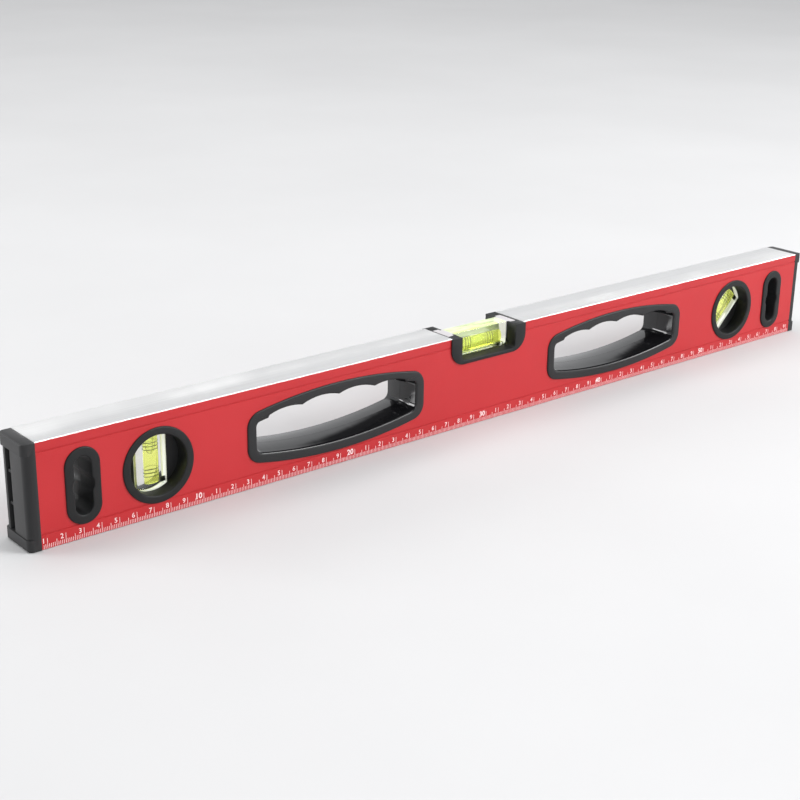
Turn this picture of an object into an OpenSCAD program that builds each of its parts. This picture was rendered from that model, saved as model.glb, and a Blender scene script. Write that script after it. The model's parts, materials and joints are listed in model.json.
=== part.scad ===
// Box-beam spirit level with three tube vials, two hand grips and two hang slots.
// Frame: X along the beam, Y through its thickness (front face at -Y), Z up.
// The origin is the middle of the bottom measuring face.

/* [Beam] */
// Overall length over both end caps
level_len = 600; // [570:10:900]
// Height between the two measuring faces
beam_h = 57; // [57:0.5:60]
// Thickness across the painted faces
beam_w = 25.4; // [24.4:0.2:30]
// Wall of the painted faces
face_wall = 2; // [1.4:0.1:2.4]
// Wall of the top and bottom measuring faces
rail_wall = 3.2; // [2:0.2:4]

/* [End caps] */
// Length of rubber outside the beam at each end
cap_len = 7; // [5:0.5:9]
// Radius of the upright outer corners of a cap
cap_corner_r = 3; // [1:0.5:4]

/* [Hand grips] */
// Distance of each grip from the middle of the beam
grip_x = 111; // [108:1:118]
// Half length of the grip flange
grip_half_len = 61; // [58:1:64]
// Width of the rim at each end of the hand opening
grip_rim_w = 6; // [4.5:0.5:7.5]
// Thickness of the flanges standing on the painted faces
flange_t = 0.9; // [0.5:0.1:1.5]

/* [Hang slots] */
// Distance of each hang slot from the end of the level
hang_from_end = 31; // [28:0.5:34]
// Overall width of the grommet flange
hang_w = 19.5; // [18.5:0.5:22]
// Overall height of the grommet flange
hang_h = 41; // [40:1:44]
// Width of the slot that takes a hook
hang_slot_w = 9.6; // [7:0.2:10]

/* [Vials] */
// Distance of each round housing from the end of the level
round_from_end = 73.8; // [70:0.2:80]
// Radius of the round bezel
bezel_r = 20.75; // [20.25:0.25:21.5]
// Tilt of the right-hand vial from the horizontal
angle_tilt = 45; // [15:5:75]
// Radius of the barrel that holds the fluid
barrel_r = 4.4; // [4:0.1:4.7]
// Length of the barrel in the two round housings
barrel_len = 27; // [25:0.5:28]
// Length of the barrel in the centre vial
centre_barrel_len = 36; // [32:0.5:37]
// Thickness of the clear vial blocks
block_t = 10.4; // [10.2:0.1:11.4]
// Length of the air bubble
bubble_len = 11; // [9:0.5:12]

/* [Hidden] */

// Colours
red_paint = "#c8202c";
black_plastic = "#2b2d30";
black_rubber = "#4a4c4f";
clear_acrylic = "#e8f4ee";
lime_fluid = "#c9e84a";
line_black = "#20251c";
air = "#f4ffd8";

// Beam
beam_len = level_len - 2 * cap_len;
half_w = beam_w / 2;
mid_z = beam_h / 2;
inner_half_w = half_w - face_wall;
inner_fillet = 1.5;
rail_edge_r = 0.5;
groove_w = 0.9;
groove_depth = 0.35;
groove_from_top = 5.2;
groove_from_bottom = 8.6;

// General fits
window_gap = 0.15;
part_gap = 0.05;
eps = 1;
chamfer = 0.5;

// Cap
cap_inset = 0.3;
cap_plate_h = 6.2;
pad_setback = 0.8;
pad_corner_r = 0.62 * (cap_len - pad_setback);
cap_bevel = 0.6;
cap_slot_y0 = 0.2 * half_w;
cap_slot_y1 = 0.6 * half_w;
spigot_wall = 2;
spigot_gap = 0.12;
bridge_h = 1.6;
bridge_recess = 0.8;
bridge_len = cap_len - pad_setback - bridge_recess;
bridge_zs = [0.36 * beam_h, 0.66 * beam_h];

// Grip: the outline is a lens of two long arcs with rounded ends
arc_r = 280;
grip_corner_r = 9;
grip_open_half = grip_half_len - grip_rim_w;
grip_top = mid_z + 20.3;
grip_bottom = mid_z - 19.6;
grip_lip = 3.5;
open_bottom = mid_z - 13.7;
open_corner_r = 4;
shoulder_z = mid_z + 8.9;
shoulder_r = 2.6;
shoulder_rise = 0.9;
finger_r = 36;
inner_finger = [11.5, mid_z + 14.9];
outer_finger = [34, mid_z + 13.4];
finger_end_x = 46.5;

// Hang slot
hang_lip = 2.6;
hang_slot_h = 31;
hang_bulge_r = 0.62 * hang_slot_w;

// The spigot of each cap stops just short of the sleeve in the hang slot
spigot_clear = 0.85;
spigot_len = hang_from_end - hang_w / 2 + hang_lip - cap_len - spigot_clear;

// Round housings
bezel_lip = 2.1;
bezel_open_r = bezel_r - 4.25;
pocket_r = bezel_open_r + 0.9;
block_half_t = block_t / 2;
web_half_t = 3.2;
block_half_w = 9;
block_end_r = pocket_r - 2 * part_gap;

// Vial contents
fluid_skin = 0.15;
fluid_r = barrel_r - fluid_skin;
fluid_end_gap = 0.05;
channel_gap = 0.05;
bubble_clear = 1.5;
bubble_r = barrel_r - bubble_clear;
bubble_lift = fluid_r - bubble_r - channel_gap - fluid_skin;
bubble_half = bubble_len / 2;
bubble_end_gap = 0.5;
bubble_travel = barrel_len / 2 - bubble_half - bubble_end_gap;
centre_bubble_travel = centre_barrel_len / 2 - bubble_half - bubble_end_gap;
line_pitch = 1.9;
line_from_mid = 5.4;
centre_line_from_mid = 6.9;
line_w = 0.35;
print_gap = 0.02;
line_r_out = barrel_r - print_gap;
line_r_in = fluid_r + print_gap;

// The barrel lies off the middle of its block, nearer the side with the filler hole
barrel_drop = 1.5;

// The filler hole runs from the barrel, near one end, out through the nearer side of the block
plug_r = 1.45;
plug_hole_r = 1.5;
plug_recess = 0.2;
plug_edge = 0.45;
plug_x = sqrt(pow(block_end_r, 2) - pow(block_half_w, 2)) - plug_hole_r - plug_edge;

// Centre frame: a saddle let into a notch in the top of the beam
saddle_half = 29.5;
saddle_lip = 1.1;
saddle_bottom = beam_h - 17;
saddle_lip_bottom = 0.8;
saddle_corner_r = 10;
saddle_open_half = 21.25;
saddle_floor = beam_h - 14.8;
saddle_open_r = 2.5;
saddle_top = beam_h - 0.2;
saddle_ear_x0 = 22.6;
saddle_ear_x1 = 27;
saddle_ear_half_y = 7;
saddle_ear_z = beam_h - 11;
saddle_neck_x0 = saddle_open_half - 0.5;
saddle_neck_x1 = saddle_ear_x0 + 0.5;
centre_axis_z = (saddle_floor + saddle_top) / 2 - barrel_drop;
centre_depth = centre_axis_z - saddle_floor - part_gap;
centre_plug_x = saddle_open_half - part_gap - saddle_open_r - plug_hole_r;

// Places along the beam
hang_x = level_len / 2 - hang_from_end;
round_x = level_len / 2 - round_from_end;

// ---------- outlines ----------

// Points of an arc from angle a0 to a1 in n steps
function arc(cx, cz, r, a0, a1, n) =
    [for (i = [0:n]) let (a = a0 + (a1 - a0) * i / n) [cx + r * cos(a), cz + r * sin(a)]];

// Mirror image of a list of points across the vertical axis, in reverse order
function mirrored(pts) = [for (i = [len(pts) - 1:-1:0]) [-pts[i][0], pts[i][1]]];

// Half outline of the grip, from bottom middle to top middle, pulled in by t
function grip_half(t) =
    let (r = arc_r - t,
         cr = grip_corner_r - t,
         cx = grip_half_len - grip_corner_r,
         dz = sqrt(pow(arc_r - grip_corner_r, 2) - cx * cx),
         a = atan2(dz, cx),
         top_cz = grip_top - arc_r,
         low_cz = grip_bottom + arc_r)
    concat(arc(0, low_cz, r, -90, -a, 10),
           arc(cx, low_cz - dz, cr, -a, 0, 7),
           arc(cx, top_cz + dz, cr, 0, a, 7),
           arc(0, top_cz, r, a, 90, 10));

module grip_outline(t) {
    polygon(concat(grip_half(t), mirrored(grip_half(t))));
}

// Where the two finger arcs on one side of the grip cross
finger_gap = outer_finger - inner_finger;
finger_rise = sqrt(finger_r * finger_r - pow(norm(finger_gap) / 2, 2));
finger_cusp = (outer_finger + inner_finger) / 2
    + [-finger_gap[1], finger_gap[0]] * finger_rise / norm(finger_gap) - [0, finger_r];

// Angle of a point on a finger arc, seen from the centre of that arc
function finger_angle(p, finger) = atan2(p[1] - finger[1] + finger_r, p[0] - finger[0]);

// Height of the outer finger arc where it meets the shoulder
finger_end_z = outer_finger[1] - finger_r
    + sqrt(finger_r * finger_r - pow(finger_end_x - outer_finger[0], 2));

// Half outline of the hand opening, with two finger scallops along its top
function opening_half() =
    let (cx = grip_open_half - open_corner_r,
         dz = sqrt(pow(arc_r - open_corner_r, 2) - cx * cx),
         a = atan2(dz, cx),
         low_cz = open_bottom + arc_r,
         end_p = [finger_end_x, finger_end_z])
    concat(arc(0, low_cz, arc_r, -90, -a, 10),
           arc(cx, low_cz - dz, open_corner_r, -a, 0, 6),
           arc(grip_open_half - shoulder_r, shoulder_z - shoulder_r, shoulder_r, 0, 80, 5),
           [[finger_end_x + shoulder_rise, shoulder_z + shoulder_rise]],
           arc(outer_finger[0], outer_finger[1] - finger_r, finger_r,
               finger_angle(end_p, outer_finger), finger_angle(finger_cusp, outer_finger), 8),
           arc(inner_finger[0], inner_finger[1] - finger_r, finger_r,
               finger_angle(finger_cusp, inner_finger), acos(-inner_finger[0] / finger_r), 8));

module opening_outline() {
    polygon(concat(opening_half(), mirrored(opening_half())));
}

// Upright slot with round ends
module obround(w, h) {
    for (s = [-1, 1])
        translate([0, s * (h - w) / 2]) circle(d = w, $fn = 64);
    square([w, h - w], center = true);
}

// Rectangle from z0 to z1 with its two lower corners rounded
module saddle_outline(half, z0, z1, r) {
    intersection() {
        translate([-half, z0]) square([2 * half, z1 - z0]);
        union() {
            translate([-half, z0 + r]) square([2 * half, z1 - z0]);
            translate([-half + r, z0]) square([2 * (half - r), z1 - z0]);
            for (s = [-1, 1])
                translate([s * (half - r), z0 + r]) circle(r = r, $fn = 64);
        }
    }
}

// Slab of an outline drawn in X and Z, from y0 to y1
module slab(y0, y1) {
    translate([0, y1, 0]) rotate([90, 0, 0]) linear_extrude(y1 - y0) children();
}

// Front half as drawn, or its mirror image for the rear
module rear_of(rear) {
    mirror([0, rear ? 1 : 0, 0]) children();
}

// ---------- beam ----------

// Cross-section in Y and Z
module beam_section() {
    difference() {
        translate([-half_w, 0]) square([beam_w, beam_h]);
        translate([-inner_half_w, rail_wall + inner_fillet])
            square([2 * inner_half_w, beam_h - 2 * (rail_wall + inner_fillet)]);
        translate([-inner_half_w + inner_fillet, rail_wall])
            square([2 * (inner_half_w - inner_fillet), beam_h - 2 * rail_wall]);
        for (sy = [-1, 1], z = [rail_wall + inner_fillet, beam_h - rail_wall - inner_fillet])
            translate([sy * (inner_half_w - inner_fillet), z]) circle(inner_fillet, $fn = 32);
        // long edges are broken by a small flat
        for (sy = [-1, 1], z = [0, beam_h])
            translate([sy * half_w, z]) rotate(45) square(rail_edge_r * sqrt(2), center = true);
        // two fine grooves along each painted face
        for (sy = [-1, 1], z = [groove_from_bottom, beam_h - groove_from_top])
            translate([sy * half_w, z]) square([2 * groove_depth, groove_w], center = true);
    }
}

module window() {
    slab(-half_w - eps, half_w + eps) children();
}

module beam_profile() {
    color(red_paint)
    difference() {
        translate([-beam_len / 2, 0, 0]) rotate([90, 0, 90]) linear_extrude(beam_len) beam_section();
        for (s = [-1, 1]) {
            translate([s * grip_x, 0, 0]) window() grip_outline(grip_lip - window_gap);
            translate([s * hang_x, 0, mid_z]) window()
                obround(hang_w - 2 * hang_lip + 2 * window_gap, hang_h - 2 * hang_lip + 2 * window_gap);
            translate([s * round_x, 0, mid_z]) rotate([90, 0, 0])
                cylinder(r = bezel_r - bezel_lip + window_gap, h = beam_w + 2 * eps,
                         center = true, $fn = 96);
        }
        window() saddle_outline(saddle_half - saddle_lip + window_gap,
                                saddle_bottom + saddle_lip_bottom - window_gap,
                                beam_h + eps, saddle_corner_r - saddle_lip);
    }
}

// ---------- end caps, drawn for the left end with the beam's end at x = 0 ----------

// Plan outline of the cap, in X and Y, set back by t at the outer face, with corners of radius r
module cap_plan(t, r) {
    translate([-cap_len + t + r, -half_w]) square([cap_len - t - r, beam_w]);
    translate([-cap_len + t, -half_w + r]) square([r + eps / 10, beam_w - 2 * r]);
    for (s = [-1, 1])
        translate([-cap_len + t + r, s * (half_w - r)]) circle(r = r, $fn = 48);
}

module cap_bumper() {
    top = beam_h - cap_inset;
    color(black_rubber)
    difference() {
        union() {
            translate([0, 0, cap_inset]) linear_extrude(cap_plate_h) cap_plan(0, cap_corner_r);
            translate([0, 0, top - cap_plate_h]) linear_extrude(cap_plate_h) cap_plan(0, cap_corner_r);
            translate([0, 0, cap_inset + cap_plate_h / 2])
                linear_extrude(top - cap_inset - cap_plate_h) cap_plan(pad_setback, pad_corner_r);
        }
        // tall slot on one side of the pad, open to the plug behind
        translate([-cap_len - eps, cap_slot_y0, cap_inset + cap_plate_h])
            cube([cap_len + 2 * eps, cap_slot_y1 - cap_slot_y0, top - cap_inset - 2 * cap_plate_h]);
        // the rubber ends flush against the beam
        translate([0, -half_w - eps, 0]) cube([2 * cap_len, beam_w + 2 * eps, beam_h]);
        // bevel along the top and bottom outer edges
        for (z = [cap_inset, top])
            translate([-cap_len, 0, z]) rotate([0, 45, 0])
                cube([cap_bevel * sqrt(2), beam_w + 2 * eps, cap_bevel * sqrt(2)], center = true);
    }
}

module cap_plug() {
    y_half = inner_half_w - spigot_gap;
    z0 = rail_wall + spigot_gap;
    z1 = beam_h - rail_wall - spigot_gap;
    slot_w = cap_slot_y1 - cap_slot_y0;
    color(black_plastic) {
        difference() {
            translate([0, -y_half, z0]) cube([spigot_len, 2 * y_half, z1 - z0]);
            translate([spigot_wall, -y_half + spigot_wall, z0 + spigot_wall])
                cube([spigot_len, 2 * (y_half - spigot_wall), z1 - z0 - 2 * spigot_wall]);
            // the long edges clear the fillets inside the beam
            for (sy = [-1, 1], z = [z0, z1])
                translate([spigot_len / 2, sy * y_half, z]) rotate([45, 0, 0])
                    cube([spigot_len + 2 * eps, inner_fillet, inner_fillet], center = true);
        }
        // stiffening shelf across the middle of the spigot
        translate([spigot_wall / 2, -y_half + spigot_wall / 2, mid_z - spigot_wall / 2])
            cube([spigot_len - spigot_wall, 2 * y_half - spigot_wall, spigot_wall]);
        // small bridges that show in the slot of the bumper
        for (z = bridge_zs)
            translate([-bridge_len, cap_slot_y0 + part_gap, z - bridge_h / 2])
                cube([bridge_len + spigot_wall / 2, slot_w - 2 * part_gap, bridge_h]);
    }
}

// Moves a left-end part to one end of the level
module at_end(right) {
    rotate([0, 0, right ? 180 : 0]) translate([-beam_len / 2, 0, 0]) children();
}

// ---------- inserts in the beam's windows, drawn as the front half ----------

// Flange on the painted face with a chamfered rim: outer outline, then the same pulled in
module chamfered_flange() {
    hull() {
        slab(-half_w - flange_t + chamfer, -half_w) children(0);
        slab(-half_w - flange_t, -half_w) children(1);
    }
}

module grip(rear) {
    color(black_plastic)
    rear_of(rear)
    difference() {
        union() {
            chamfered_flange() {
                grip_outline(0);
                grip_outline(chamfer);
            }
            slab(-half_w - flange_t / 2, 0) grip_outline(grip_lip);
        }
        slab(-half_w - flange_t - eps, eps) opening_outline();
    }
}

// Hang slot with a round bulge half way up, so that a nail head passes
module hang_opening() {
    obround(hang_slot_w, hang_slot_h);
    circle(r = hang_bulge_r, $fn = 64);
}

module hang_grommet(rear) {
    color(black_plastic)
    rear_of(rear)
    translate([0, 0, mid_z])
    difference() {
        union() {
            slab(-half_w - flange_t + chamfer, -half_w) obround(hang_w, hang_h);
            slab(-half_w - flange_t, -half_w) obround(hang_w - 2 * chamfer, hang_h - 2 * chamfer);
            slab(-half_w - flange_t / 2, 0) obround(hang_w - 2 * hang_lip, hang_h - 2 * hang_lip);
        }
        slab(-half_w - flange_t - eps, eps) hang_opening();
    }
}

// Round housing: a bezel, a stepped tube that locks the block, and two webs beside it
module round_housing(tilt, rear) {
    face = half_w + flange_t;
    shelf = block_half_t + part_gap;
    sleeve_r = bezel_r - bezel_lip;
    color(black_plastic)
    rear_of(rear)
    translate([0, 0, mid_z]) {
        rotate([90, 0, 0]) rotate_extrude($fn = 128)
            polygon([[bezel_open_r, shelf], [pocket_r, shelf], [pocket_r, 0], [sleeve_r, 0],
                     [sleeve_r, half_w], [bezel_r, half_w], [bezel_r, face - chamfer],
                     [bezel_r - chamfer, face], [bezel_open_r + chamfer, face],
                     [bezel_open_r, face - chamfer]]);
        rotate([0, -tilt, 0])
        intersection() {
            rotate([90, 0, 0]) cylinder(r = pocket_r + part_gap, h = web_half_t, $fn = 128);
            difference() {
                cube(2 * bezel_r, center = true);
                cube([3 * bezel_r, beam_w, 2 * (block_half_w + part_gap)], center = true);
            }
        }
    }
}

// ---------- vials, drawn along X about the origin ----------

// Capsule along X
module capsule(r, half_len) {
    for (s = [-1, 1])
        translate([s * (half_len - r), 0, 0]) sphere(r = r, $fn = 48);
    translate([-half_len + r, 0, 0]) rotate([0, 90, 0])
        cylinder(r = r, h = 2 * (half_len - r), $fn = 48);
}

// Everything in a vial is placed by one of these three
module centre_place() {
    translate([0, 0, centre_axis_z]) children();
}

module plumb_place() {
    translate([-round_x, 0, mid_z]) rotate([0, -90, 0]) children();
}

module angle_place() {
    translate([round_x, 0, mid_z]) rotate([0, -angle_tilt, 0]) children();
}

// Moves what is in a barrel from the middle of a round housing's block to its place
module in_barrel() {
    translate([0, 0, -barrel_drop]) children();
}

// Barrel and filler hole taken out of a block
module vial_bores(half_len, hole_x) {
    translate([-half_len, 0, 0]) rotate([0, 90, 0])
        cylinder(r = barrel_r, h = 2 * half_len, $fn = 64);
    translate([hole_x, 0, -bezel_r]) cylinder(r = plug_hole_r, h = bezel_r - barrel_r / 2, $fn = 48);
}

// Fluid with the hollow that the bubble slides in, from x0 to x1
module vial_fluid(half_len, x0, x1, lift) {
    color(lime_fluid)
    difference() {
        translate([-half_len + fluid_end_gap, 0, 0]) rotate([0, 90, 0])
            cylinder(r = fluid_r, h = 2 * (half_len - fluid_end_gap), $fn = 64);
        translate([(x0 + x1) / 2, 0, lift])
            capsule(bubble_r + channel_gap, (x1 - x0) / 2 + bubble_half + channel_gap);
    }
}

module round_fluid(lift) {
    vial_fluid(barrel_len / 2, -bubble_travel, bubble_travel, lift);
}

module centre_fluid() {
    vial_fluid(centre_barrel_len / 2, -centre_bubble_travel, centre_bubble_travel, bubble_lift);
}

// Three ring lines on each side of the middle, the innermost at from_mid
module vial_lines(from_mid) {
    color(line_black)
    for (s = [-1, 1], i = [0:2])
        translate([s * (from_mid + i * line_pitch) - line_w / 2, 0, 0]) rotate([0, 90, 0])
        difference() {
            cylinder(r = line_r_out, h = line_w, $fn = 64);
            translate([0, 0, -eps]) cylinder(r = line_r_in, h = line_w + 2 * eps, $fn = 64);
        }
}

// Plug in the filler hole, for a block whose underside is at the given depth
module vial_plug(hole_x, depth) {
    color(line_black)
    translate([hole_x, 0, -depth + plug_recess])
        cylinder(r = plug_r, h = depth - plug_recess - line_r_out - 2 * part_gap, $fn = 48);
}

module round_plug() {
    in_barrel() vial_plug(plug_x, block_half_w - barrel_drop);
}

module bubble(x, lift) {
    color(air)
    translate([x, 0, lift]) capsule(bubble_r, bubble_half);
}

// Block with curved ends that fits the pocket of a round housing
module round_block() {
    color(clear_acrylic)
    difference() {
        intersection() {
            cube([2 * bezel_r, block_t, 2 * block_half_w], center = true);
            rotate([90, 0, 0])
                cylinder(r = block_end_r, h = beam_w, center = true, $fn = 128);
        }
        in_barrel() vial_bores(barrel_len / 2, plug_x);
    }
}

// ---------- centre vial ----------

module centre_frame() {
    open_top = beam_h + eps;
    color(black_plastic)
    difference() {
        union() {
            slab(-half_w - flange_t, half_w + flange_t)
                saddle_outline(saddle_half - saddle_lip, saddle_bottom + saddle_lip_bottom,
                               saddle_top, saddle_corner_r - saddle_lip);
            for (rear = [false, true])
                rear_of(rear) slab(-half_w - flange_t, -half_w)
                    saddle_outline(saddle_half, saddle_bottom, saddle_top, saddle_corner_r);
        }
        slab(-half_w - flange_t - eps, half_w + flange_t + eps)
            saddle_outline(saddle_open_half, saddle_floor, open_top, saddle_open_r);
        // T-slots for the ears of the vial block
        for (s = [-1, 1]) {
            translate([s * (saddle_ear_x0 + saddle_ear_x1) / 2, 0, (saddle_ear_z + open_top) / 2])
                cube([saddle_ear_x1 - saddle_ear_x0 + 2 * part_gap,
                      2 * (saddle_ear_half_y + part_gap), open_top - saddle_ear_z], center = true);
            translate([s * (saddle_neck_x0 + saddle_neck_x1) / 2, 0, (saddle_ear_z + open_top) / 2])
                cube([saddle_neck_x1 - saddle_neck_x0, block_t + 2 * part_gap,
                      open_top - saddle_ear_z], center = true);
        }
    }
}

module centre_vial_block() {
    top = saddle_top;
    ear_bottom = saddle_ear_z + part_gap;
    color(clear_acrylic)
    difference() {
        union() {
            slab(-block_half_t, block_half_t)
                saddle_outline(saddle_open_half - part_gap, saddle_floor + part_gap, top, saddle_open_r);
            translate([-saddle_neck_x1, -block_half_t, ear_bottom])
                cube([2 * saddle_neck_x1, block_t, top - ear_bottom]);
            for (s = [-1, 1])
                translate([s * (saddle_ear_x0 + saddle_ear_x1) / 2, 0, (ear_bottom + top) / 2])
                    cube([saddle_ear_x1 - saddle_ear_x0, 2 * saddle_ear_half_y, top - ear_bottom],
                         center = true);
        }
        translate([0, 0, centre_axis_z]) vial_bores(centre_barrel_len / 2, centre_plug_x);
    }
}

// ---------- nodes ----------

module left_cap_bumper() at_end(false) cap_bumper();
module left_cap_plug() at_end(false) cap_plug();
module right_cap_bumper() at_end(true) cap_bumper();
module right_cap_plug() at_end(true) cap_plug();

module left_hang_grommet_front() translate([-hang_x, 0, 0]) hang_grommet(false);
module left_hang_grommet_rear() translate([-hang_x, 0, 0]) hang_grommet(true);
module right_hang_grommet_front() translate([hang_x, 0, 0]) hang_grommet(false);
module right_hang_grommet_rear() translate([hang_x, 0, 0]) hang_grommet(true);

module left_grip_front() translate([-grip_x, 0, 0]) grip(false);
module left_grip_rear() translate([-grip_x, 0, 0]) grip(true);
module right_grip_front() translate([grip_x, 0, 0]) grip(false);
module right_grip_rear() translate([grip_x, 0, 0]) grip(true);

// The plumb vial's bubble rests at the top and can run down to the bottom
module plumb_housing_front() translate([-round_x, 0, 0]) round_housing(90, false);
module plumb_housing_rear() translate([-round_x, 0, 0]) round_housing(90, true);
module plumb_vial_block() plumb_place() mirror([1, 0, 0]) round_block();
module plumb_vial_fluid() plumb_place() in_barrel() round_fluid(0);
module plumb_vial_lines() plumb_place() in_barrel() vial_lines(line_from_mid);
module plumb_vial_plug() plumb_place() mirror([1, 0, 0]) round_plug();
module plumb_bubble() plumb_place() in_barrel() bubble(bubble_travel, 0);

// The angle vial's bubble rests at its upper end
module angle_housing_front() translate([round_x, 0, 0]) round_housing(angle_tilt, false);
module angle_housing_rear() translate([round_x, 0, 0]) round_housing(angle_tilt, true);
module angle_vial_block() angle_place() round_block();
module angle_vial_fluid() angle_place() in_barrel() round_fluid(bubble_lift);
module angle_vial_lines() angle_place() in_barrel() vial_lines(line_from_mid);
module angle_vial_plug() angle_place() round_plug();
module angle_bubble() angle_place() in_barrel() bubble(bubble_travel, bubble_lift);

module centre_vial_fluid() centre_place() centre_fluid();
module centre_vial_lines() centre_place() vial_lines(centre_line_from_mid);
module centre_vial_plug() centre_place() vial_plug(centre_plug_x, centre_depth);
module centre_bubble() centre_place() bubble(0, bubble_lift);

beam_profile();
left_cap_bumper();
left_cap_plug();
right_cap_bumper();
right_cap_plug();
left_hang_grommet_front();
left_hang_grommet_rear();
right_hang_grommet_front();
right_hang_grommet_rear();
left_grip_front();
left_grip_rear();
right_grip_front();
right_grip_rear();
plumb_housing_front();
plumb_housing_rear();
plumb_vial_block();
plumb_vial_fluid();
plumb_vial_lines();
plumb_vial_plug();
plumb_bubble();
angle_housing_front();
angle_housing_rear();
angle_vial_block();
angle_vial_fluid();
angle_vial_lines();
angle_vial_plug();
angle_bubble();
centre_frame();
centre_vial_block();
centre_vial_fluid();
centre_vial_lines();
centre_vial_plug();
centre_bubble();
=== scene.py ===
"""Looks of the 600 mm box-beam spirit level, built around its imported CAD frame.

Lengths are metres in the CAD frame: X along the beam, front face at -Y, Z up.
"""
import json
import math

import bmesh
import bpy
from mathutils import Matrix, Quaternion, Vector


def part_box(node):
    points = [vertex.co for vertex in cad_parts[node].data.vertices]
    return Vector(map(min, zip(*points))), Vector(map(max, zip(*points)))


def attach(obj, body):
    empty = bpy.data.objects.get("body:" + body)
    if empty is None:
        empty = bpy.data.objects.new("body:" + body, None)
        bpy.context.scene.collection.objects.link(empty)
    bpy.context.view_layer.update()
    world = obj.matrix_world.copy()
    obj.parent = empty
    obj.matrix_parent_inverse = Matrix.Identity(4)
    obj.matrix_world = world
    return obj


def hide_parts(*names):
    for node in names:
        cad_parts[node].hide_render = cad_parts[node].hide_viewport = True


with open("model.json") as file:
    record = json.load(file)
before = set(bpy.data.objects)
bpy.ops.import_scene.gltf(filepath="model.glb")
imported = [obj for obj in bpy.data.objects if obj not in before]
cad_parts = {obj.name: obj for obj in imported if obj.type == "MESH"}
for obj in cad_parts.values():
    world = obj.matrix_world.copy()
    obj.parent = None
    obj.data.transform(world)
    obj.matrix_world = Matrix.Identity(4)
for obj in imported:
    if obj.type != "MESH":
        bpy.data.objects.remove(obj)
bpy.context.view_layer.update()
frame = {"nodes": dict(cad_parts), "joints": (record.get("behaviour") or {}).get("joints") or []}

MM = 0.001
LEVEL = "level"
VIALS = ("plumb", "angle", "centre")

# Vertex mark that tells the polished, darker wall of an opening from the satin flange around it; the
# darker colour is painted shade
WALL_MARK = "wall"

# ---------------------------------------------------------------- sizes read from the frame

beam_low, beam_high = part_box("beam_profile")
BEAM_H = beam_high.z
HALF_W = beam_high.y
END_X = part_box("right_cap_bumper")[1].x

# The ears of the centre block start this far in from the ends of its saddle
EAR_INSET = 8.8 * MM
EAR_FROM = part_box("centre_frame")[1].x - EAR_INSET

# Past this distance from the middle, a vial block belongs to a round housing
CENTRE_REACH = 40 * MM


def centre_of(node):
    """Middle of a CAD node's box."""
    low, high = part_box(node)
    return (low + high) / 2


# ---------------------------------------------------------------- material building


class Graph:
    """A material and short calls that add nodes to it."""

    def __init__(self, name):
        self.material = bpy.data.materials.new(name)
        self.material.use_nodes = True
        self.tree = self.material.node_tree
        self.tree.nodes.clear()

    def node(self, kind, inputs=None, **settings):
        made = self.tree.nodes.new("ShaderNode" + kind)
        for key, value in settings.items():
            setattr(made, key, value)
        for key, value in (inputs or {}).items():
            if isinstance(value, bpy.types.NodeSocket):
                self.tree.links.new(value, made.inputs[key])
            else:
                made.inputs[key].default_value = value
        return made

    def place(self):
        """Position in the object's own metres."""
        return self.node("TexCoord").outputs["Object"]

    def stretched(self, x, y, z):
        """Position scaled by axis, for grain that runs one way."""
        scaled = self.node("Mapping", {"Vector": self.place(), "Scale": (x, y, z)})
        return scaled.outputs["Vector"]

    def noise(self, scale, detail=3.0, rough=0.55, vector=None):
        made = self.node("TexNoise", {"Vector": vector or self.place(), "Scale": scale,
                                      "Detail": detail, "Roughness": rough})
        return made.outputs["Fac"]

    def ramp(self, value, low, high, out_low=0.0, out_high=1.0):
        """Value between low and high, spread from out_low to out_high."""
        made = self.node("MapRange", {"Value": value, "From Min": low, "From Max": high,
                                      "To Min": out_low, "To Max": out_high})
        return made.outputs["Result"]

    def maths(self, what, a, b=0.0):
        return self.node("Math", {0: a, 1: b}, operation=what).outputs[0]

    def mix(self, share, a, b):
        """Colour a where share is 0, b where it is 1."""
        made = self.node("Mix", {"Factor": share}, data_type="RGBA")
        for index, value in ((6, a), (7, b)):
            if isinstance(value, bpy.types.NodeSocket):
                self.tree.links.new(value, made.inputs[index])
            else:
                made.inputs[index].default_value = (*value, 1.0)
        return made.outputs[2]

    def bump(self, height, depth, strength=1.0):
        made = self.node("Bump", {"Height": height, "Distance": depth, "Strength": strength})
        return made.outputs["Normal"]

    def axis_value(self, axis):
        """One coordinate of the position, as a value."""
        split = self.node("SeparateXYZ", {"Vector": self.place()})
        return split.outputs[axis]

    def principled(self, **inputs):
        named = {key.replace("_", " "): value for key, value in inputs.items()}
        return self.node("BsdfPrincipled", named).outputs["BSDF"]

    def finish(self, surface):
        out = self.node("OutputMaterial")
        self.tree.links.new(surface, out.inputs["Surface"])
        return self.material


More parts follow.
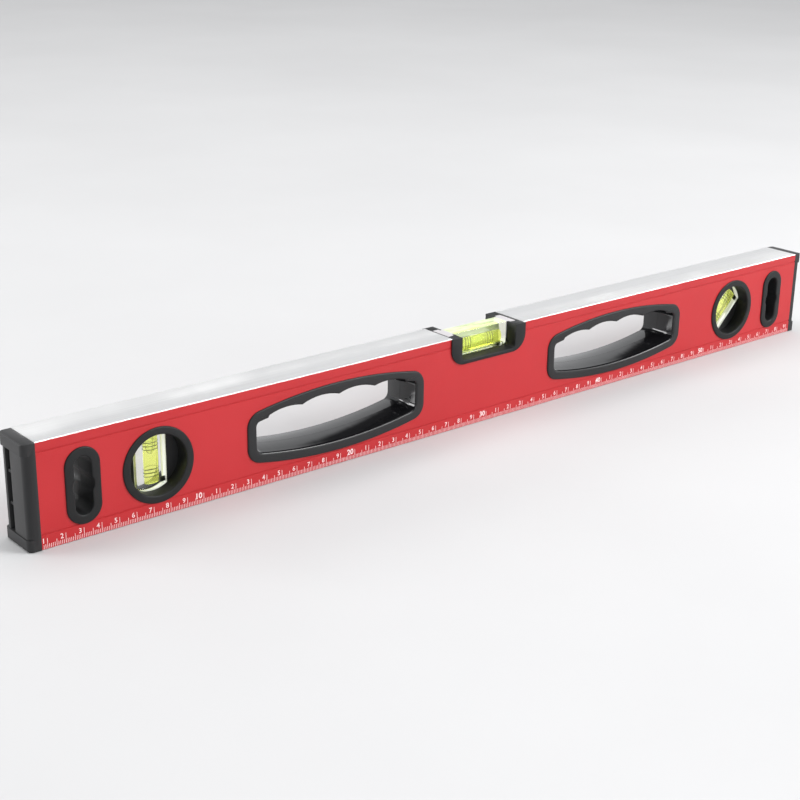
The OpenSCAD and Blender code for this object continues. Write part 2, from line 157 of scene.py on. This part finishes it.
def beam_finish():
    """Red powder coat on the faces, milled aluminium on the two measuring faces."""
    g = Graph("beam_finish")
    milled_from, edge_blur = 0.35 * MM, 0.06 * MM
    from_middle = g.maths("ABSOLUTE", g.maths("SUBTRACT", g.axis_value("Z"), BEAM_H / 2))
    height_in = g.maths("SUBTRACT", BEAM_H / 2, from_middle)
    ragged = g.maths("MULTIPLY", g.noise(900.0, vector=g.stretched(0.3, 1, 1)), 0.12 * MM)
    bare = g.ramp(g.maths("SUBTRACT", height_in, ragged), milled_from, milled_from - edge_blur)

    cloud = g.noise(14.0, detail=4.0)
    speck = g.noise(2600.0, detail=1.0)
    red = g.mix(g.ramp(cloud, 0.3, 0.7), (0.42, 0.0125, 0.016), (0.47, 0.0175, 0.022))
    red = g.mix(g.ramp(speck, 0.35, 0.75, 0.0, 0.25), red, (0.58, 0.04, 0.045))
    peel = g.bump(g.noise(750.0, detail=2.0), 0.02 * MM, 0.45)
    paint = g.principled(Base_Color=red, Roughness=g.ramp(cloud, 0.3, 0.7, 0.36, 0.44), Normal=peel,
                         Specular_IOR_Level=0.4)

    mill_lines = g.noise(420.0, detail=5.0, rough=0.7, vector=g.stretched(0.03, 6, 6))
    smear = g.noise(30.0, detail=3.0)
    silver = g.mix(g.ramp(mill_lines, 0.3, 0.7), (0.77, 0.77, 0.77), (0.89, 0.89, 0.885))
    metal = g.principled(Base_Color=silver, Metallic=1.0,
                         Roughness=g.ramp(smear, 0.3, 0.7, 0.34, 0.46),
                         Anisotropic=0.5, Normal=g.bump(mill_lines, 0.008 * MM, 0.6))
    both = g.node("MixShader", {0: bare, 1: paint, 2: metal}).outputs[0]
    return g.finish(both)


def moulded_plastic(name, dark, light, rough_low, rough_high, grain_depth):
    """Black moulded plastic with a fine spark-eroded grain."""
    g = Graph(name)
    cloud = g.noise(45.0, detail=4.0)
    grain = g.noise(3800.0, detail=2.0)
    colour = g.mix(g.ramp(cloud, 0.3, 0.7), dark, light)
    surface = g.principled(Base_Color=colour, Roughness=g.ramp(grain, 0.3, 0.7, rough_low, rough_high),
                           Specular_IOR_Level=0.3, Normal=g.bump(grain, grain_depth, 0.5))
    return g.finish(surface)


def grip_plastic():
    """Satin flange outside; the lip and the wall of the opening are polished and painted darker, as
    shade inside the opening.
    """
    g = Graph("grip_plastic")
    wall = g.node("Attribute", attribute_name=WALL_MARK).outputs["Fac"]
    cloud = g.noise(45.0, detail=4.0)
    grain = g.noise(3800.0, detail=2.0)
    colour = g.mix(g.ramp(cloud, 0.3, 0.7), (0.010, 0.0102, 0.011), (0.014, 0.0142, 0.0155))
    satin = g.principled(Base_Color=colour, Roughness=g.ramp(grain, 0.3, 0.7, 0.42, 0.6),
                         Specular_IOR_Level=0.4, Normal=g.bump(grain, 0.02 * MM, 0.5))
    smear = g.noise(60.0, detail=3.0)
    # The wall's darker base colour than the flange is painted shade inside the opening.
    polished = g.principled(Base_Color=(0.006, 0.006, 0.007, 1.0),
                            Roughness=g.ramp(smear, 0.3, 0.7, 0.06, 0.10),
                            Normal=g.bump(g.noise(240.0, detail=1.0), 0.03 * MM, 0.15))
    return g.finish(g.node("MixShader", {0: wall, 1: satin, 2: polished}).outputs[0])


def bumper_rubber():
    """Dark grey rubber, evenly matt, slightly lighter along its sharp edges."""
    g = Graph("bumper_rubber")
    grain = g.noise(5200.0, detail=2.0)
    cloud = g.noise(25.0, detail=3.0)
    edge = g.ramp(g.node("NewGeometry").outputs["Pointiness"], 0.51, 0.58)
    colour = g.mix(g.ramp(cloud, 0.3, 0.7), (0.013, 0.013, 0.014), (0.016, 0.016, 0.017))
    colour = g.mix(g.maths("MULTIPLY", edge, 0.12), colour, (0.10, 0.10, 0.10))
    surface = g.principled(Base_Color=colour, Roughness=g.ramp(cloud, 0.3, 0.7, 0.42, 0.5),
                           Specular_IOR_Level=0.32, Normal=g.bump(grain, 0.012 * MM, 0.4))
    return g.finish(surface)


def glow_seen(g, strength):
    """Emission strength that shows to the camera but hardly lights up the parts around."""
    path = g.node("LightPath")
    lit = g.maths("MAXIMUM", path.outputs["Is Diffuse Ray"], path.outputs["Is Glossy Ray"])
    return g.ramp(lit, 0.0, 1.0, strength, 0.1 * strength)


def seen_inside(g, amount):
    """Amount that counts only for rays that came through clear material, so that a painted glow or haze
    shows only inside the acrylic.
    """
    return g.maths("MULTIPLY", g.node("LightPath").outputs["Is Transmission Ray"], amount)


def ground_acrylic(g, colour, painted_glow):
    """Acrylic with a ground surface that looks white from either side, brightened by a painted glow."""
    frost = g.noise(1800.0, detail=3.0)
    return g.principled(Base_Color=colour, Roughness=0.5, Emission_Color=colour,
                        Emission_Strength=painted_glow, Normal=g.bump(frost, 0.02 * MM, 0.5))


def clear_acrylic():
    """Clear blocks with partly ground sides made pale by a painted glow; the centre one has ground ears
    with a painted glow, a hazy rear face with a painted glow, and a streaky milky top that is a painted
    sheen.
    """
    g = Graph("clear_acrylic")
    waves = g.noise(160.0, detail=1.0)
    along = g.maths("ABSOLUTE", g.axis_value("X"))
    in_centre = g.ramp(along, CENTRE_REACH, CENTRE_REACH + MM, 1.0, 0.0)
    tint = g.mix(in_centre, (0.97, 1.0, 0.98), (0.93, 1.0, 0.80))
    clear = g.principled(Base_Color=tint, Transmission_Weight=1.0, IOR=1.49,
                         Roughness=0.02, Normal=g.bump(waves, 0.01 * MM, 0.3))

    facing = g.node("SeparateXYZ", {"Vector": g.node("NewGeometry").outputs["True Normal"]})
    # The sides of the round blocks are partly ground, and the ground share is made pale by a painted
    # glow.
    side_haze = g.ramp(g.maths("ABSOLUTE", facing.outputs["Y"]), 0.3, 0.6, 0.35, 0.0)
    sides = ground_acrylic(g, (0.92, 0.93, 0.87, 1.0), seen_inside(g, 0.95))
    round_block = g.node("MixShader", {0: side_haze, 1: clear, 2: sides}).outputs[0]

    # On the centre block, the streaky milky top is a painted sheen with a painted glow; the rear face is
    # partly ground and has the same painted glow.
    sheen_streaks = g.noise(260.0, detail=4.0, vector=g.stretched(0.35, 1, 1))
    top_sheen_mask = g.ramp(g.axis_value("Z"), BEAM_H - 0.6 * MM, BEAM_H - 0.3 * MM)
    rear = seen_inside(g, g.ramp(g.axis_value("Y"), 4.0 * MM, 5.0 * MM, 0.0, 0.6))
    rear_frost_and_top_sheen = g.maths("MAXIMUM", rear, g.maths("MULTIPLY", top_sheen_mask, g.ramp(sheen_streaks, 0.35, 0.7, 0.25, 0.6)))
    milky = ground_acrylic(g, (0.80, 0.92, 0.56, 1.0), glow_seen(g, 0.5))
    centre_block = g.node("MixShader", {0: rear_frost_and_top_sheen, 1: clear, 2: milky}).outputs[0]
    past_end = g.ramp(along, EAR_FROM, EAR_FROM + 0.4 * MM)
    # The ears are ground acrylic made bright by a painted glow.
    ears = ground_acrylic(g, (0.52, 0.50, 0.51, 1.0), seen_inside(g, 1.3))
    centre_block = g.node("MixShader", {0: past_end, 1: centre_block, 2: ears}).outputs[0]
    return g.finish(g.node("MixShader", {0: in_centre, 1: round_block, 2: centre_block}).outputs[0])


def vial_fluid_finish():
    """Lime fluid with a faint painted glow, greener where it is seen edge on."""
    g = Graph("vial_fluid_finish")
    drift = g.noise(180.0, detail=2.0)
    edge_on = g.node("LayerWeight", {"Blend": 0.35}).outputs["Facing"]
    lime = g.mix(g.ramp(drift, 0.3, 0.7), (0.91, 0.96, 0.24), (0.95, 0.98, 0.31))
    lime = g.mix(g.ramp(edge_on, 0.55, 1.0, 0.0, 0.7), lime, (0.42, 0.74, 0.09))
    surface = g.principled(Base_Color=lime, Transmission_Weight=0.8, IOR=0.93, Roughness=0.03,
                           Emission_Color=lime, Emission_Strength=glow_seen(g, 1.2))
    return g.finish(surface)


def bubble_finish():
    """Air seen through fluid: bends light the other way and is kept pale by a faint painted glow."""
    g = Graph("bubble_finish")
    drift = g.noise(400.0, detail=1.0)
    pale = g.mix(drift, (0.93, 1.0, 0.72), (0.98, 1.0, 0.85))
    surface = g.principled(Base_Color=pale, Transmission_Weight=1.0, IOR=0.86, Roughness=0.01,
                           Emission_Color=pale, Emission_Strength=glow_seen(g, 0.3))
    return g.finish(surface)


def line_print():
    """Dark olive ring print with a slight break-up."""
    g = Graph("line_print")
    patchy = g.noise(3000.0, detail=2.0)
    colour = g.mix(g.ramp(patchy, 0.3, 0.7), (0.07, 0.09, 0.02), (0.12, 0.15, 0.035))
    return g.finish(g.principled(Base_Color=colour, Roughness=0.45))


def seal_rubber():
    """Dark stopper in the filler hole."""
    g = Graph("seal_rubber")
    cloud = g.noise(900.0, detail=3.0)
    colour = g.mix(g.ramp(cloud, 0.3, 0.7), (0.012, 0.014, 0.013), (0.03, 0.034, 0.03))
    return g.finish(g.principled(Base_Color=colour, Roughness=0.5, Normal=g.bump(cloud, 0.02 * MM, 0.4)))


def ruler_print():
    """White screen print, thin in places so that the red shows a little."""
    g = Graph("ruler_print")
    thin = g.noise(1500.0, detail=3.0)
    colour = g.mix(g.ramp(thin, 0.35, 0.68), (0.88, 0.80, 0.80), (0.82, 0.55, 0.55))
    return g.finish(g.principled(Base_Color=colour, Roughness=0.5, Normal=g.bump(thin, 0.01 * MM, 0.3)))


def floor_finish():
    """Pale matt studio floor."""
    g = Graph("floor_finish")
    cloud = g.noise(3.0, detail=4.0)
    colour = g.mix(g.ramp(cloud, 0.3, 0.7), (0.55, 0.55, 0.555), (0.58, 0.58, 0.585))
    return g.finish(g.principled(Base_Color=colour, Roughness=0.75))


FINISH = {
    "beam": beam_finish(),
    "grip": grip_plastic(),
    "plastic": moulded_plastic("insert_plastic", (0.008, 0.0085, 0.009), (0.011, 0.0115, 0.012),
                               0.42, 0.6, 0.02 * MM),
    "plug": moulded_plastic("plug_plastic", (0.014, 0.014, 0.015), (0.022, 0.022, 0.023),
                            0.4, 0.55, 0.02 * MM),
    "rubber": bumper_rubber(),
    "acrylic": clear_acrylic(),
    "fluid": vial_fluid_finish(),
    "air": bubble_finish(),
    "lines": line_print(),
    "seal": seal_rubber(),
    "print": ruler_print(),
    "floor": floor_finish(),
}


def paint(obj, finish):
    obj.data.materials.clear()
    obj.data.materials.append(FINISH[finish])


# ---------------------------------------------------------------- mesh helpers


def add_object(name, mesh):
    obj = bpy.data.objects.new(name, mesh)
    bpy.context.scene.collection.objects.link(obj)
    return obj


def finish_mesh(name, bm, sharp_deg=35.0):
    """Turns a bmesh into a smooth-shaded object with sharp edges kept."""
    bmesh.ops.recalc_face_normals(bm, faces=bm.faces)
    mesh = bpy.data.meshes.new(name)
    bm.to_mesh(mesh)
    bm.free()
    mesh.polygons.foreach_set("use_smooth", [True] * len(mesh.polygons))
    mesh.set_sharp_from_angle(angle=math.radians(sharp_deg))
    return add_object(name, mesh)


def welded_copy(node):
    """A CAD node's mesh as one skin of flat n-gons."""
    bm = bmesh.new()
    bm.from_mesh(frame["nodes"][node].data)
    bmesh.ops.remove_doubles(bm, verts=bm.verts, dist=0.0005 * MM)
    bmesh.ops.recalc_face_normals(bm, faces=bm.faces)
    bmesh.ops.dissolve_limit(bm, angle_limit=math.radians(0.5), verts=bm.verts, edges=bm.edges)
    return bm


def bevel_sharp(bm, width, over_deg=40.0, segments=2):
    """Rounds every edge that turns more than over_deg."""
    sharp = [e for e in bm.edges
             if len(e.link_faces) == 2 and e.calc_face_angle(0.0) > math.radians(over_deg)]
    bmesh.ops.bevel(bm, geom=sharp, offset=width, offset_type="OFFSET", segments=segments,
                    profile=0.5, affect="EDGES", clamp_overlap=True)


def place_piece(obj, finish, body, slot, *nodes):
    """Paints a new piece, sets it on its body and lets it stand for its CAD nodes."""
    paint(obj, finish)
    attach(obj, body)
    if nodes:
        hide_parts(*nodes)


def softened(node, width, finish, slot, segments=2):
    """A copy of a CAD node with its sharp edges rounded, standing for that node."""
    bm = welded_copy(node)
    bevel_sharp(bm, width, segments=segments)
    place_piece(finish_mesh(node + "_shell", bm), finish, LEVEL, slot, node)


# ---------------------------------------------------------------- inserts with an opening


def flat_loops(bm, y):
    """Boundary loops, longest first, of the flat faces that lie at depth y, as (x, z) lists."""
    near = 0.002 * MM
    flat = {f for f in bm.faces if all(abs(v.co.y - y) < near for v in f.verts)}
    rim = [e for e in bm.edges if sum(f in flat for f in e.link_faces) == 1]
    beside = {}
    for edge in rim:
        for vert in edge.verts:
            beside.setdefault(vert, []).append(edge.other_vert(vert))
    loops = []
    while beside:
        start = next(iter(beside))
        loop, vert, last = [], start, None
        while vert in beside:
            loop.append(Vector((vert.co.x, vert.co.z)))
            onward = [v for v in beside.pop(vert) if v is not last and v in beside]
            last, vert = vert, onward[0] if onward else None
        loops.append(loop)
    return sorted(loops, key=lambda pts: -sum((a - b).length for a, b in zip(pts, pts[1:] + pts[:1])))


def polar(point, centre, half):
    """Angle of a point seen from the centre, in a frame squeezed to a square."""
    return math.atan2((point.y - centre.y) / half.y, (point.x - centre.x) / half.x)


def ring_on(loop, centre, half, angles):
    """Points where rays at the given angles leave a loop."""
    points = []
    for angle in angles:
        ray = Vector((half.x * math.cos(angle), half.y * math.sin(angle)))
        best = None
        for a, b in zip(loop, loop[1:] + loop[:1]):
            side = b - a
            cross = ray.x * side.y - ray.y * side.x
            if abs(cross) < 1e-15:
                continue
            rel = a - centre
            along = (rel.x * side.y - rel.y * side.x) / cross
            share = (rel.x * ray.y - rel.y * ray.x) / cross
            if along > 0 and -1e-6 <= share <= 1 + 1e-6:
                best = max(best or 0.0, along)
        points.append(centre + ray * best)
    return points


def pushed_out(ring, distance):
    """A ring moved outwards along its own normals."""
    moved = []
    count = len(ring)
    for i, point in enumerate(ring):
        tangent = ring[(i + 1) % count] - ring[i - 1]
        normal = Vector((tangent.y, -tangent.x)).normalized()
        moved.append(point + normal * distance)
    return moved


def quarter_round(ring, radius, face_y, steps, inward):
    """Rings and depths of a rounded edge between the flat face at face_y and the wall of a ring."""
    made = []
    for i in range(steps + 1):
        turn = math.pi / 2 * i / steps
        across = radius * (1 - math.sin(turn))
        deep = radius * (1 - math.cos(turn))
        made.append((pushed_out(ring, across if not inward else -across), face_y + deep))
    return made


# Steps round a lip and a rim, the least angle between two columns of faces, and half the gap
# that is left between the front and the rear half
LIP_STEPS = 6
RIM_STEPS = 4
LEAST_TURN = 0.004
PARTING = 0.04 * MM


def lofted(name, stations, mirror_y, wall_from):
    """A closed skin through rings at given depths; the rings from wall_from on are marked as wall."""
    bm = bmesh.new()
    side = -1.0 if mirror_y else 1.0
    rows = [[bm.verts.new((p.x, y * side, p.y)) for p in ring] for ring, y in stations]
    count = len(rows[0])
    for row, following in zip(rows, rows[1:] + rows[:1]):
        for i in range(count):
            j = (i + 1) % count
            bm.faces.new((row[i], row[j], following[j], following[i]))
    obj = finish_mesh(name, bm)
    mark = obj.data.attributes.new(WALL_MARK, "FLOAT", "POINT")
    mark.data.foreach_set("value", [float(k // count >= wall_from) for k in range(count * len(rows))])
    return obj


def flanged_insert(node, source, finish, slot, lip_radius, rim_radius, crown, mirror_y):
    """One half of a flanged insert: sleeve, flange with a rounded rim, rounded lip and crowned wall.

    The outlines are read from the source node, which is the front half, and mirrored for the rear.
    """
    bm = welded_copy(source)
    face_y = min(v.co.y for v in bm.verts)
    rim, opening = flat_loops(bm, face_y)[:2]
    back = flat_loops(bm, -HALF_W)
    outline, sleeve = back[0], back[1]
    bm.free()
    low = Vector((min(p.x for p in outline), min(p.y for p in outline)))
    high = Vector((max(p.x for p in outline), max(p.y for p in outline)))
    centre, half = (low + high) / 2, (high - low) / 2
    spread = sorted({round(polar(p, centre, half), 4) for loop in (outline, opening) for p in loop})
    following = spread[1:] + [spread[0] + 2 * math.pi]
    angles = [a for a, b in zip(spread, following) if b - a > LEAST_TURN]
    edge = ring_on(outline, centre, half, angles)
    hole = ring_on(opening, centre, half, angles)
    tube = ring_on(sleeve, centre, half, angles)
    stations = [(tube, -PARTING), (tube, -HALF_W), (edge, -HALF_W)]
    stations += list(reversed(quarter_round(edge, rim_radius, face_y, RIM_STEPS, True)))
    wall_from = len(stations) + LIP_STEPS // 2
    stations += quarter_round(hole, lip_radius, face_y, LIP_STEPS, False)
    wall_y = face_y + lip_radius
    for share in (0.8, 0.6, 0.4, 0.2):
        stations.append((pushed_out(hole, -crown * (1 - share ** 2)), wall_y * share))
    stations += [(pushed_out(hole, -crown), -2 * PARTING), (pushed_out(hole, PARTING - crown), -PARTING)]
    obj = lofted(node + "_shell", stations, mirror_y, wall_from)
    place_piece(obj, finish, LEVEL, slot, node)


# For each kind of insert: its finish, slot, lip radius, rim radius and crown of the wall
INSERTS = {
    "grip": ("grip", "gloss_black", 1.5 * MM, 0.8 * MM, 1.2 * MM),
    "hang_grommet": ("plastic", "satin_black", 0.9 * MM, 0.7 * MM, 0.3 * MM),
}


def hand_grips_and_grommets():
    for side in ("left", "right"):
        for half in ("front", "rear"):
            for kind, looks in INSERTS.items():
                flanged_insert(f"{side}_{kind}_{half}", f"{side}_{kind}_front", *looks, half == "rear")


def housings_and_saddle():
    for vial in ("plumb", "angle"):
        for half in ("front", "rear"):
            softened(f"{vial}_housing_{half}", 0.2 * MM, "plastic", "satin_black")
    softened("centre_frame", 0.25 * MM, "plastic", "satin_black")


def end_caps():
    for side in ("left", "right"):
        softened(f"{side}_cap_bumper", 0.9 * MM, "rubber", "rubber", segments=3)
        softened(f"{side}_cap_plug", 0.2 * MM, "plug", "satin_black")


# ---------------------------------------------------------------- vials


def vial_axis(vial):
    """Unit vector along a vial, towards the end where its bubble rests or moves."""
    joint = next(j for j in frame["joints"] if j["name"] == vial + "_bubble_slide")
    axis = Vector(joint["axis"]).normalized()
    return axis if vial == "centre" else -axis


def revolved(name, profile, place, segments=64):
    """A closed skin of revolution about local X from (x, radius) points, ends on the axis."""
    bm = bmesh.new()
    rows = []
    for x, radius in profile[1:-1]:
        rows.append([bm.verts.new(place @ Vector((x, radius * math.cos(t), radius * math.sin(t))))
                     for t in (2 * math.pi * i / segments for i in range(segments))])
    tips = [bm.verts.new(place @ Vector((profile[k][0], 0.0, 0.0))) for k in (0, -1)]
    for row, following in zip(rows, rows[1:]):
        for i in range(segments):
            j = (i + 1) % segments
            bm.faces.new((row[i], row[j], following[j], following[i]))
    for tip, row in ((tips[0], rows[0]), (tips[1], rows[-1])):
        for i in range(segments):
            bm.faces.new((tip, row[i], row[(i + 1) % segments]))
    return finish_mesh(name, bm)


def along_axis(centre, axis):
    """Matrix that turns local X to axis and local Z as near as it goes to straight up, at centre."""
    side = Vector((0, 0, 1)).cross(axis)
    if side.length < 1e-6:
        side = Vector((0, 1, 0))
    side.normalize()
    top = axis.cross(side).normalized()
    turn = Matrix((axis, side, top)).transposed().to_4x4()
    return Matrix.Translation(centre) @ turn


def solid_block(vial):
    """The clear block with its bores closed, so that light meets acrylic and fluid only once each."""
    node = vial + "_vial_block"
    centre, axis = centre_of(vial + "_vial_fluid"), vial_axis(vial)
    margin = 0.1 * MM
    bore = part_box("centre_vial_lines")[1].y + margin
    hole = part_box("centre_vial_plug")[1].y + margin
    plug = centre_of(vial + "_vial_plug") - centre
    hole_at = axis * plug.dot(axis)
    hole_axis = (plug - hole_at).normalized()
    bm = welded_copy(node)

    def off_axis(point, line):
        return (point - line * point.dot(line)).length

    def in_bore(vert):
        rel = vert.co - centre
        return off_axis(rel, axis) < bore or off_axis(rel - hole_at, hole_axis) < hole

    inside = [f for f in bm.faces if all(in_bore(v) for v in f.verts)]
    bmesh.ops.delete(bm, geom=inside, context="FACES")
    bmesh.ops.holes_fill(bm, edges=[e for e in bm.edges if e.is_boundary], sides=0)
    bmesh.ops.dissolve_limit(bm, angle_limit=math.radians(0.5), verts=bm.verts, edges=bm.edges)
    bevel_sharp(bm, 0.25 * MM)
    place_piece(finish_mesh(node + "_clear", bm), "acrylic", LEVEL, "acrylic", node)


def barrel_of_fluid(vial):
    """The fluid as a full barrel, slightly wider in the middle, with rounded ends."""
    node = vial + "_vial_fluid"
    centre, axis = centre_of(node), vial_axis(vial)
    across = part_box("centre_vial_fluid")
    along = across if vial == "centre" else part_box("plumb_vial_fluid")
    half, radius = max(along[1] - along[0]) / 2, (across[1].z - across[0].z) / 2
    corner, taper, steps = 0.8 * MM, 0.12 * MM, 6
    profile = [(-half, 0.0)]
    profile += [(-half + corner * (1 - math.cos(t)), radius - taper - corner * (1 - math.sin(t)))
                for t in (math.pi / 2 * i / steps for i in range(steps + 1))]
    body = half - corner
    profile += [(x, radius - taper * (x / body) ** 2)
                for x in (body * (i / steps - 1) for i in range(1, 2 * steps))]
    profile += [(-x, r) for x, r in reversed(profile[:steps + 2])]
    obj = revolved(node + "_barrel", profile, along_axis(centre, axis))
    place_piece(obj, "fluid", LEVEL, "fluid", node)


def air_bubble(vial):
    """A bubble that is flatter below than above and blunt at its ends."""
    node = vial + "_bubble"
    centre, axis = centre_of(node), vial_axis(vial)
    low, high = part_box("centre_bubble")
    half, radius = (high.x - low.x) / 2, (high.z - low.z) / 2
    place = along_axis(centre, axis)
    flat = 1.0 if vial == "plumb" else 0.72
    bluntness = 0.8
    bm = bmesh.new()
    bmesh.ops.create_uvsphere(bm, u_segments=48, v_segments=28, radius=1.0)
    for vert in bm.verts:
        x, y, z = vert.co.z, vert.co.y, vert.co.x
        blunt = math.copysign(abs(x) ** bluntness, x)
        tall = radius if z > 0 else radius * flat
        vert.co = place @ Vector((blunt * half, y * radius, z * tall))
    obj = finish_mesh(node + "_air", bm, 180.0)
    place_piece(obj, "air", node, "air", node)


def vials():
    for vial in VIALS:
        solid_block(vial)
        barrel_of_fluid(vial)
        air_bubble(vial)
        paint(frame["nodes"][vial + "_vial_lines"], "lines")
        paint(frame["nodes"][vial + "_vial_plug"], "seal")


# ---------------------------------------------------------------- ruler

# Print stands this far out of the face; the rest are widths of ticks and heights above the bottom
PRINT_T = 0.04 * MM
TICK_W = 0.24 * MM
TICK_FOOT = 0.7 * MM
TICK_TOP = 2.9 * MM
FIVE_TOP = 4.3 * MM
TEN_TOP = 6.1 * MM
NUMBER_FOOT = 3.7 * MM


def ruler_ticks():
    """Millimetre marks along the bottom of the front face."""
    bm = bmesh.new()
    first, last = math.ceil((END_X + beam_low.x) / MM) + 1, math.floor((END_X + beam_high.x) / MM) - 1
    for mark in range(first, last + 1):
        top = TEN_TOP if mark % 10 == 0 else FIVE_TOP if mark % 5 == 0 else TICK_TOP
        size = Vector((TICK_W, 2 * PRINT_T, top - TICK_FOOT))
        middle = Vector((-END_X + mark * MM, -HALF_W, (TICK_FOOT + top) / 2))
        bmesh.ops.create_cube(bm, size=1.0,
                              matrix=Matrix.Translation(middle) @ Matrix.Diagonal(size).to_4x4())
    place_piece(finish_mesh("ruler_ticks", bm), "print", LEVEL, "painted_beam")


def number_mesh(text, size, weight):
    """Outline of a number as a thin solid, standing in the X-Z plane."""
    curve = bpy.data.curves.new("number", "FONT")
    curve.body = text
    curve.size = size
    curve.offset = weight
    curve.extrude = PRINT_T
    curve.resolution_u = 3
    curve.align_x = "CENTER"
    holder = bpy.data.objects.new("number", curve)
    mesh = bpy.data.meshes.new_from_object(holder)
    bpy.data.objects.remove(holder)
    bpy.data.curves.remove(curve)
    return mesh


def ruler_numbers():
    """Centimetre figures just left of their marks; whole tens are larger and bolder."""
    plain = (3.8 * MM, 0.02 * MM, 2.1 * MM)
    whole_ten = (4.4 * MM, 0.11 * MM, 3.2 * MM)
    bm = bmesh.new()
    upright = Matrix.Rotation(math.radians(90), 4, "X")
    last = round(2 * END_X / (10 * MM)) - 1
    for cm in range(1, last + 1):
        tens = cm % 10 == 0
        size, weight, left_by = whole_ten if tens else plain
        mesh = number_mesh(str(cm) if tens else str(cm % 10), size, weight)
        x = -END_X + cm * 10 * MM - left_by
        mesh.transform(Matrix.Translation((x, -HALF_W, NUMBER_FOOT)) @ upright)
        bm.from_mesh(mesh)
        bpy.data.meshes.remove(mesh)
    place_piece(finish_mesh("ruler_numbers", bm), "print", LEVEL, "painted_beam")


# ---------------------------------------------------------------- studio

# Sine of the height at which the backdrop ends, how softly, and how bright it and the ceiling are
BACKDROP_TOP = 0.47
BACKDROP_FADE = 0.08
BACKDROP_LEVEL = 0.95
CEILING_LEVEL = 0.08


def studio_floor():
    bm = bmesh.new()
    bmesh.ops.create_grid(bm, x_segments=1, y_segments=1, size=12.0)
    floor = finish_mesh("studio_floor", bm)
    floor.location.z = -0.05 * MM
    paint(floor, "floor")


def soft_light(name, place, aim, width, height, power):
    lamp = bpy.data.lights.new(name, "AREA")
    lamp.shape = "RECTANGLE"
    lamp.size, lamp.size_y = width, height
    lamp.energy = power
    obj = bpy.data.objects.new(name, lamp)
    obj.location = place
    obj.rotation_euler = (Vector(aim) - Vector(place)).to_track_quat("-Z", "Y").to_euler()
    bpy.context.scene.collection.objects.link(obj)


def studio_world():
    """A white backdrop that reaches a third of the way up, and a dark ceiling above it."""
    world = bpy.data.worlds.new("studio_world")
    world.use_nodes = True
    nodes, links = world.node_tree.nodes, world.node_tree.links
    split = nodes.new("ShaderNodeSeparateXYZ")
    links.new(nodes.new("ShaderNodeTexCoord").outputs["Generated"], split.inputs["Vector"])
    fade = nodes.new("ShaderNodeMapRange")
    links.new(split.outputs["Z"], fade.inputs["Value"])
    for key, value in {"From Min": BACKDROP_TOP, "From Max": BACKDROP_TOP + BACKDROP_FADE,
                       "To Min": BACKDROP_LEVEL, "To Max": CEILING_LEVEL}.items():
        fade.inputs[key].default_value = value
    background = nodes["Background"]
    background.inputs["Color"].default_value = (0.97, 0.98, 1.0, 1.0)
    links.new(fade.outputs["Result"], background.inputs["Strength"])
    bpy.context.scene.world = world


def studio_lights():
    soft_light("key_softbox", (1.3, -1.35, 1.25), (0.3, 0, 0.03), 1.1, 1.0, 48.0)
    soft_light("front_fill", (-1.2, -2.0, 0.9), (-0.2, 0, 0.03), 1.0, 1.0, 7.0)
    soft_light("top_softbox", (0.2, 1.0, 4.5), (0, 0.6, 0), 5.0, 5.0, 195.0)
    soft_light("left_fill", (-1.7, 1.2, 0.5), (-0.3, 0, 0.03), 0.9, 0.9, 27.0)


# Viewing direction of the camera: turned from +Y towards +X, dipped, and rolled a little
VIEW_TURN = 39.77
VIEW_DIP = 20.21
VIEW_ROLL = 0.86
CAMERA_PLACE = (-0.5928, -0.6439, 0.3305)
LENS = 69.1


def camera():
    turn, dip = math.radians(VIEW_TURN), math.radians(VIEW_DIP)
    forward = Vector((math.sin(turn) * math.cos(dip), math.cos(turn) * math.cos(dip), -math.sin(dip)))
    data = bpy.data.cameras.new("camera")
    data.lens, data.sensor_width = LENS, 36.0
    data.clip_start, data.clip_end = 0.01, 50.0
    obj = bpy.data.objects.new("camera", data)
    obj.location = CAMERA_PLACE
    obj.rotation_mode = "QUATERNION"
    level_view = forward.to_track_quat("-Z", "Y")
    obj.rotation_quaternion = Quaternion(forward, -math.radians(VIEW_ROLL)) @ level_view
    bpy.context.scene.collection.objects.link(obj)
    bpy.context.scene.camera = obj


# ---------------------------------------------------------------- assembly

paint(frame["nodes"]["beam_profile"], "beam")
end_caps()
hand_grips_and_grommets()
housings_and_saddle()
vials()
ruler_ticks()
ruler_numbers()
studio_floor()
studio_world()
studio_lights()
camera()
bpy.context.scene.view_settings.view_transform = "Standard"
